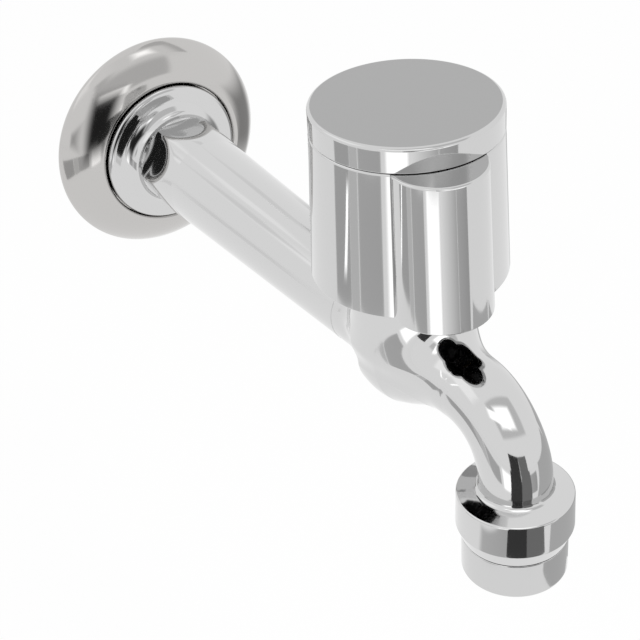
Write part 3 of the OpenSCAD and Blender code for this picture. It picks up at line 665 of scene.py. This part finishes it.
def build_knob(k, s):
    """Knob: its outline at each height, up the inner wall, round the lower edge, up the outer
    wall, round the upper edge and in over the shelf, scaled towards the axis."""
    top = k.base_z + k.height - k.parting
    deck = k.base_z + k.height - DECK_DROP
    edge, lip = 0.55, 0.3
    curve = np.radians(np.linspace(0, 90, 8))
    inner = np.linspace(deck, k.base_z + lip, 24)
    outer = np.linspace(k.base_z + lip, top - edge, 40)
    height = np.concatenate(
        [
            inner,
            k.base_z + lip - lip * np.sin(curve),
            k.base_z + lip - lip * np.cos(curve),
            outer,
            top - edge + edge * np.sin(curve),
        ]
    )[:, None]
    inset = np.concatenate(
        [
            np.full(len(inner), k.wall),
            k.wall - lip + lip * np.cos(curve),
            lip - lip * np.sin(curve),
            np.zeros(len(outer)),
            edge - edge * np.cos(curve),
        ]
    )[:, None]
    outline = knob_outline(k, height, inset)
    radius = np.abs(outline[-1:])
    shelf_r = 20.05
    t = np.array([0.02, 0.06, 0.2, 0.4, 0.6, 0.8, 1.0])[:, None]
    shelf = outline[-1:] * ((radius * (1 - t) + shelf_r * t) / radius)
    ceiling = outline[:1] * np.array([0.36, 0.6, 0.8, 0.95, 0.99])[:, None]
    plan = np.concatenate([ceiling, outline, shelf])
    levels = [np.full((len(ceiling), 1), deck), height, np.full((len(t), 1), top)]
    level = np.concatenate(levels) + 0 * plan.real
    points = np.stack([plan.real, plan.imag - s.knob_reach, level], -1)
    rows, columns = points.shape[:2]
    # ceiling and inner wall rows get the near-black inside finish: unplated, and painted shade of
    # the hollow
    bare = np.repeat(np.arange(rows - 1) < len(ceiling) + len(inner), columns)
    piece = put_grid(
        "knob_skin", points, "handle", "knob_chrome", flip=True, sharp=30.0, bare=bare
    )
    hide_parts("knob_shell")


def build_knob_inside(k, s):
    """Hub of the knob as a turned profile, and its five ribs as flat plates on a small grid. Both
    get the near-black inside finish: unplated, and painted shade of the knob's hollow."""
    deck = k.base_z + k.height - DECK_DROP
    line = finer(
        rounded([(5.6, deck - 1.0), (5.6, 40.1, 0.15), (7.5, 40.1, 0.2), (7.5, deck + 0.3)], 4), 2.0
    )
    points = upright(line[:, :1], circle_angles(96)[None], line[:, 1:], s.knob_reach)
    # hub in the near-black inside finish: unplated, painted shade of the hollow
    put_grid("knob_hub", points, "handle", "knob_chrome", finish="bare_knob")
    section = np.array([[-0.75, 44.1], [0.75, 44.1], [0.75, deck + 0.3], [-0.75, deck + 0.3]])
    along = np.linspace(7.0, 20.9, 6)[:, None]
    spokes = []
    for turn in np.radians(np.arange(60, 301, 60) - 90.0 - k.lobe_angle):
        across = section[None, :, 0]
        x = along * math.cos(turn) - across * math.sin(turn)
        y = along * math.sin(turn) + across * math.cos(turn) - s.knob_reach
        spokes.append(np.stack(np.broadcast_arrays(x, y, section[None, :, 1]), -1).reshape(-1, 3))
    one = grid_faces(len(along), len(section))
    faces = np.concatenate([one + len(along) * len(section) * n for n in range(len(spokes))])
    points = np.concatenate(spokes)
    # ribs in the near-black inside finish: unplated, painted shade of the hollow
    put_mesh("knob_ribs", points, faces, "handle", "knob_chrome", finish="bare_knob")


def build_cap(k, s):
    """Cap: a profile turned round the knob axis, with a flat top, a round upper edge and a side
    that starts just above the parting groove."""
    low = k.base_z + k.height
    top = low + k.cap_h
    skirt_out, skirt_in = 19.95, 18.45
    line = rounded(
        [
            (0.02, top), (k.top_r, top, k.cap_round), (k.top_r, low, 0.25), (skirt_out, low),
            (skirt_out, low - 2.1, 0.2), (skirt_in, low - 2.1, 0.2), (skirt_in, low + 4.1),
            (0.02, low + 4.1),
        ],
        20,
    )
    line = finer(line, 1.0)
    points = upright(line[:, :1], circle_angles(320)[None], line[:, 1:], s.knob_reach)
    piece = put_grid("knob_cap_shell", points, "handle", "knob_chrome", sharp=40.0)
    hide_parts("knob_cap")


def dress_small_parts():
    """Gives each shown solid the finish of its slot in the record."""
    for row in frame["record"]["subparts"]:
        node = frame["nodes"][row["node"]]
        if not node.hide_render:
            node.data.materials.clear()
            node.data.materials.append(finish_of(row["material_slot"]))


# ---------------------------------------------------------------------------
# Studio
# ---------------------------------------------------------------------------


def stage_mesh(name, points, faces, material):
    """A stage piece from its points in metres and its faces."""
    mesh = bpy.data.meshes.new(name)
    mesh.from_pydata(points.tolist(), [], faces.tolist())
    mesh.materials.append(material)
    panel = bpy.data.objects.new(name, mesh)
    bpy.context.scene.collection.objects.link(panel)
    return panel


def build_floor(depth):
    """Floor: a square of six metres, level, at a depth (mm) below the arm's axis."""
    corners = np.array([[-1, -1], [1, -1], [1, 1], [-1, 1]]) * 3.0
    points = np.column_stack([corners, np.full(4, -depth * MM)])
    stage_mesh("floor", points, np.array([[0, 1, 2, 3]]), backdrop_material())


def backdrop_material():
    """Pale floor: it shows as white to the camera and to gloss, and keeps the shadow by mixing
    white emission with a pale diffuse surface."""
    material = bpy.data.materials.new("pale_floor")
    material.use_nodes = True
    nodes, links = material.node_tree.nodes, material.node_tree.links
    shader = nodes["Principled BSDF"]
    shader.inputs["Base Color"].default_value = (0.92, 0.92, 0.92, 1.0)
    shader.inputs["Roughness"].default_value = 0.9
    glow = nodes.new("ShaderNodeEmission")
    kinds = ("LightPath", "Math", "MixShader")
    path, most, mix = (nodes.new("ShaderNode" + kind) for kind in kinds)
    most.operation = "MAXIMUM"
    share = nodes.new("ShaderNodeMath")
    share.operation = "MULTIPLY"
    share.inputs[1].default_value = 0.96
    links.new(path.outputs["Is Camera Ray"], most.inputs[0])
    links.new(path.outputs["Is Glossy Ray"], most.inputs[1])
    links.new(most.outputs[0], share.inputs[0])
    links.new(share.outputs[0], mix.inputs["Fac"])
    links.new(shader.outputs[0], mix.inputs[1])
    links.new(glow.outputs[0], mix.inputs[2])
    links.new(mix.outputs[0], nodes["Material Output"].inputs["Surface"])
    return material


def build_world():
    """White background for the camera, gloss and transmission, and a plain grey light."""
    world = bpy.data.worlds.new("studio")
    bpy.context.scene.world = world
    world.use_nodes = True
    nodes, links = world.node_tree.nodes, world.node_tree.links
    background = nodes["Background"]
    path = nodes.new("ShaderNodeLightPath")
    seen = nodes.new("ShaderNodeMath")
    seen.operation = "MAXIMUM"
    also = nodes.new("ShaderNodeMath")
    also.operation = "MAXIMUM"
    strength = nodes.new("ShaderNodeMapRange")
    strength.inputs["To Min"].default_value = 0.55
    strength.inputs["To Max"].default_value = 1.0
    links.new(path.outputs["Is Camera Ray"], seen.inputs[0])
    links.new(path.outputs["Is Glossy Ray"], seen.inputs[1])
    links.new(seen.outputs[0], also.inputs[0])
    links.new(path.outputs["Is Transmission Ray"], also.inputs[1])
    links.new(also.outputs[0], strength.inputs["Value"])
    links.new(strength.outputs["Result"], background.inputs["Strength"])
    background.inputs["Color"].default_value = (1.0, 1.0, 1.0, 1.0)


def card_material():
    """Studio card: it glows at the level that its mesh carries in the attribute "level", and
    covers what stands behind it by the share in the attribute "cover". Its back is clear."""
    name = "studio_card"
    if name in bpy.data.materials:
        return bpy.data.materials[name]
    material = bpy.data.materials.new(name)
    material.use_nodes = True
    nodes, links = material.node_tree.nodes, material.node_tree.links
    kinds = ("Emission", "BsdfTransparent", "MixShader")
    glow, clear, mix = (nodes.new("ShaderNode" + kind) for kind in kinds)
    level, cover = nodes.new("ShaderNodeAttribute"), nodes.new("ShaderNodeAttribute")
    back, front = nodes.new("ShaderNodeNewGeometry"), nodes.new("ShaderNodeMath")
    level.attribute_name, cover.attribute_name = "level", "cover"
    front.operation, front.use_clamp = "SUBTRACT", True
    links.new(level.outputs["Fac"], glow.inputs["Strength"])
    links.new(cover.outputs["Fac"], front.inputs[0])
    links.new(back.outputs["Backfacing"], front.inputs[1])
    links.new(front.outputs[0], mix.inputs["Fac"])
    links.new(clear.outputs[0], mix.inputs[1])
    links.new(glow.outputs[0], mix.inputs[2])
    links.new(mix.outputs[0], nodes["Material Output"].inputs["Surface"])
    return material


def add_card(name, aim, azimuth, elevation, distance, width, height, left, right, soft=0.0):
    """Soft studio card, seen only in gloss: a flat grid that faces the point it is aimed at, from
    a given azimuth, elevation and distance (mm). Its glow runs evenly from left to right, as
    seen from the aim. Its cover falls from 1 to 0 over the outer share soft of its half width
    and half height, by the smooth step t * t * (3 - 2 * t)."""
    az, el = math.radians(azimuth), math.radians(elevation)
    to_card = np.array([math.sin(az) * math.cos(el), -math.cos(az) * math.cos(el), math.sin(el)])
    side = np.array([math.cos(az), math.sin(az), 0.0])
    rise = np.cross(to_card, side)
    count = 25 if soft else 2
    u, v = (a.ravel() for a in np.meshgrid(*[np.linspace(-1, 1, count)] * 2, indexing="ij"))
    points = np.array(aim, float) + to_card * distance
    points = points + np.outer(u * width / 2, side) + np.outer(v * height / 2, rise)
    faces = grid_faces(count, count, closed_columns=False)
    card = stage_mesh(name, points * MM, faces, card_material())
    t = np.ones(len(u))
    if soft:
        t = np.clip((1 - np.maximum(np.abs(u), np.abs(v))) / soft, 0, 1)
    layers = {"level": left + (right - left) * (u + 1) / 2, "cover": t * t * (3 - 2 * t)}
    for layer, values in layers.items():
        attribute = card.data.attributes.new(layer, "FLOAT", "POINT")
        attribute.data.foreach_set("value", values.astype(np.float32))
    card.visible_camera = card.visible_diffuse = card.visible_shadow = False


def add_area(name, place, aim, size, power):
    """A square soft lamp at a place, aimed at a point, all in metres; gloss shows cards only."""
    lamp = bpy.data.lights.new(name, "AREA")
    lamp.size, lamp.energy = size, power
    holder = bpy.data.objects.new(name, lamp)
    holder.location = place
    holder.rotation_euler = (Vector(place) - Vector(aim)).to_track_quat("Z", "Y").to_euler()
    holder.visible_glossy = False
    bpy.context.scene.collection.objects.link(holder)


def build_camera(c):
    """Camera from azimuth, elevation and roll about its aim, then slid in its own plane."""
    az, el, ro = (math.radians(v) for v in (c.azimuth, c.elevation, c.roll))
    right = np.array([math.cos(az), math.sin(az), 0.0])
    up = np.array([-math.sin(az) * math.sin(el), math.cos(az) * math.sin(el), math.cos(el)])
    back = np.array([math.sin(az) * math.cos(el), -math.cos(az) * math.cos(el), math.sin(el)])
    turned_right = math.cos(ro) * right + math.sin(ro) * up
    turned_up = -math.sin(ro) * right + math.cos(ro) * up
    place = np.array([0.0, c.aim_y, 0.0]) + c.distance * back
    place = place - c.slide_x * turned_right + c.slide_y * turned_up
    data = bpy.data.cameras.new("studio_camera")
    data.sensor_width = 36.0
    data.lens = c.focal_px / 640.0 * 36.0
    data.clip_start, data.clip_end = 0.01, 10.0
    camera = bpy.data.objects.new("studio_camera", data)
    turn = Matrix([Vector(turned_right), Vector(turned_up), Vector(back)]).transposed().to_4x4()
    camera.matrix_world = Matrix.Translation(Vector(place * MM)) @ turn
    bpy.context.scene.collection.objects.link(camera)
    bpy.context.scene.camera = camera


KNOB_SPOT = (0, -136, 42)
LOW_SPOT = (0, -136, -82)
RING_SPOT = (-4, -190, -23)
ARM_SPOT = (0, -75, 0)
NECK_SPOT = (0, -177, -12)
FLANGE_SPOT = (0, -10, 0)
TOP_SPOT = (0, -136, 66)
CARDS = [
    # name, aim, azimuth, elevation, distance, width, height, left, right, soft
    ("card_left_far", LOW_SPOT, -113, 0, 250, 97, 70, 0.50, 0.50, 0.1),
    ("card_left_mid", LOW_SPOT, -97, 0, 251, 45, 70, 0.66, 0.66),
    ("card_left_near", LOW_SPOT, -77.5, 0, 250, 125, 70, 0.54, 0.52, 0.1),
    ("card_bright", LOW_SPOT, -46, 0, 250, 126, 94, 1.7, 1.7, 0.3),
    ("card_front", LOW_SPOT, -15.75, 0, 252, 141, 94, 1.07, 0.54),
    ("card_front_right", LOW_SPOT, 11.75, 0, 250, 104, 94, 0.54, 0.43, 0.08),
    ("card_strip", (0, -134, 53), -91, -26, 55, 3, 28, 1.9, 1.9, 0.5),
    ("card_neck_dark", NECK_SPOT, -33, -22, 46, 22, 40, 0.05, 0.05),
    ("card_far_dark", NECK_SPOT, -31, 4, 350, 150, 130, 0.05, 0.05),
    ("card_neck_grey", NECK_SPOT, -7, -22, 46, 20, 40, 0.2, 0.2),
    ("card_far_grey", NECK_SPOT, -7, 4, 350, 140, 130, 0.2, 0.2),
    ("card_ring_dark", (-4, -190, -21), -12, -40, 39, 26, 20, 0.0, 0.0, 0.4),
    ("card_ring_left", RING_SPOT, -87, -38, 40, 40, 12, 0.6, 0.5, 0.3),
    ("card_neck_right", NECK_SPOT, 62, -30, 50, 60, 60, 0.55, 0.55),
    ("card_neck_far", NECK_SPOT, 122, -30, 50, 60, 60, 0.55, 0.55),
    ("card_flange_dark", (-10.1, -17.8, 7.6), -40, 15.7, 80, 92, 140, 0.02, 0.02, 0.7),
    ("card_flange_grey", (-150, -3, 18), 0, 0, 42, 170, 60, 0.52, 0.52, 0.9),
    ("card_flange_light", (8, 22, 54.4), 0, 26, 39, 30, 22, 1.8, 1.8, 0.9),
    ("card_flange_sky", (8, 22, 54.4), 0, 26, 40, 90, 44, 0.95, 0.95, 0.5),
    ("card_spout_light", (-2, -176, 3), -14, 53, 60, 60, 40, 1.8, 1.8, 0.5),
    ("card_flange_right", FLANGE_SPOT, 92, -18, 130, 160, 120, 0.33, 0.33, 0.7),
    ("card_band_low", ARM_SPOT, -137, -8.5, 700, 130, 110, 0.88, 0.88, 0.6),
    ("card_band_left", ARM_SPOT, -147.6, 32, 700, 110, 110, 0.88, 0.88, 0.6),
    ("card_band_light", ARM_SPOT, -163, 41, 700, 120, 120, 1.12, 1.12, 0.6),
    ("card_band_right", ARM_SPOT, 161, 40.4, 700, 110, 110, 0.88, 0.88, 0.6),
    ("card_top", TOP_SPOT, 148, 29, 150, 90, 80, 0.66, 0.66),
    ("card_window", KNOB_SPOT, -35, 40.5, 340, 340, 90, 1.7, 1.7, 0.35),
    ("card_sky_left", KNOB_SPOT, -122, 40, 900, 900, 500, 1.2, 1.2, 0.4),
    ("card_ceiling", KNOB_SPOT, -5, 52, 1000, 1700, 900, 0.68, 0.68, 0.2),
]


# ---------------------------------------------------------------------------
# Operators
# ---------------------------------------------------------------------------


class TAP_OT_body(bpy.types.Operator):
    """Build the cast body: root, arm, valve boss, spout and outlet ring"""

    bl_idname = "tap.build_body"
    bl_label = "Body"

    def execute(self, context):
        sizes, flange = context.scene.tap_body_sizes, context.scene.tap_flange_sizes
        build_valve_skin(sizes)
        build_boss_rim(sizes)
        build_arm(sizes)
        build_spout(sizes)
        build_root(flange, sizes)
        build_ring(context.scene.tap_outlet_sizes, sizes)
        return {"FINISHED"}


class TAP_OT_housing(bpy.types.Operator):
    """Build the aerator housing"""

    bl_idname = "tap.build_housing"
    bl_label = "Aerator housing"

    def execute(self, context):
        build_housing(context.scene.tap_outlet_sizes, context.scene.tap_body_sizes)
        return {"FINISHED"}


class TAP_OT_flange(bpy.types.Operator):
    """Build the wall flange"""

    bl_idname = "tap.build_flange"
    bl_label = "Wall flange"

    def execute(self, context):
        build_flange(context.scene.tap_flange_sizes)
        return {"FINISHED"}


class TAP_OT_knob(bpy.types.Operator):
    """Build the knob with its lobe, hub, ribs and cap"""

    bl_idname = "tap.build_knob"
    bl_label = "Knob and cap"

    def execute(self, context):
        sizes, body = context.scene.tap_knob_sizes, context.scene.tap_body_sizes
        build_knob(sizes, body)
        build_knob_inside(sizes, body)
        build_cap(sizes, body)
        return {"FINISHED"}


class TAP_OT_small_parts(bpy.types.Operator):
    """Finish the valve, seals, screens and other small parts"""

    bl_idname = "tap.dress_small_parts"
    bl_label = "Small parts"

    def execute(self, context):
        dress_small_parts()
        return {"FINISHED"}


class TAP_OT_stage(bpy.types.Operator):
    """Set up the floor, cards, lamps, world and camera"""

    bl_idname = "tap.build_stage"
    bl_label = "Studio"

    def execute(self, context):
        studio = context.scene.tap_studio
        context.scene.view_settings.view_transform = "Standard"
        build_world()
        build_floor(studio.floor_drop)
        add_area("key", (0.5, -0.9, 1.2), (0, -0.12, 0), 0.7, 9.0)
        add_area("fill", (-0.9, -0.5, 0.7), (0, -0.12, 0), 0.6, 5.0)
        for name, *place in CARDS:
            add_card(name, *place)
        build_camera(studio)
        return {"FINISHED"}


OPERATORS = (
    TAP_OT_body,
    TAP_OT_housing,
    TAP_OT_flange,
    TAP_OT_knob,
    TAP_OT_small_parts,
    TAP_OT_stage,
)


class TAP_PT_panel(bpy.types.Panel):
    """Sizes, finishes and build steps of the tap"""

    bl_label = "Wall Kitchen Tap"
    bl_idname = "TAP_PT_panel"
    bl_space_type = "VIEW_3D"
    bl_region_type = "UI"
    bl_category = "Tap"

    def draw(self, context):
        layout = self.layout
        for operator in OPERATORS:
            layout.operator(operator.bl_idname)
        for name, group in GROUPS.items():
            box = layout.box()
            box.label(text=group.__doc__)
            for prop in group.__annotations__:
                box.prop(getattr(context.scene, name), prop)


def register():
    for cls in (*GROUPS.values(), *OPERATORS, TAP_PT_panel):
        bpy.utils.register_class(cls)
    for name, group in GROUPS.items():
        setattr(bpy.types.Scene, name, PointerProperty(type=group))


def unregister():
    for name in GROUPS:
        delattr(bpy.types.Scene, name)
    for cls in (TAP_PT_panel, *reversed(OPERATORS), *reversed(list(GROUPS.values()))):
        bpy.utils.unregister_class(cls)


def main():
    register()
    bpy.ops.tap.build_body()
    bpy.ops.tap.build_housing()
    bpy.ops.tap.build_flange()
    bpy.ops.tap.build_knob()
    bpy.ops.tap.dress_small_parts()
    bpy.ops.tap.build_stage()


if __name__ == "__main__":
    main()
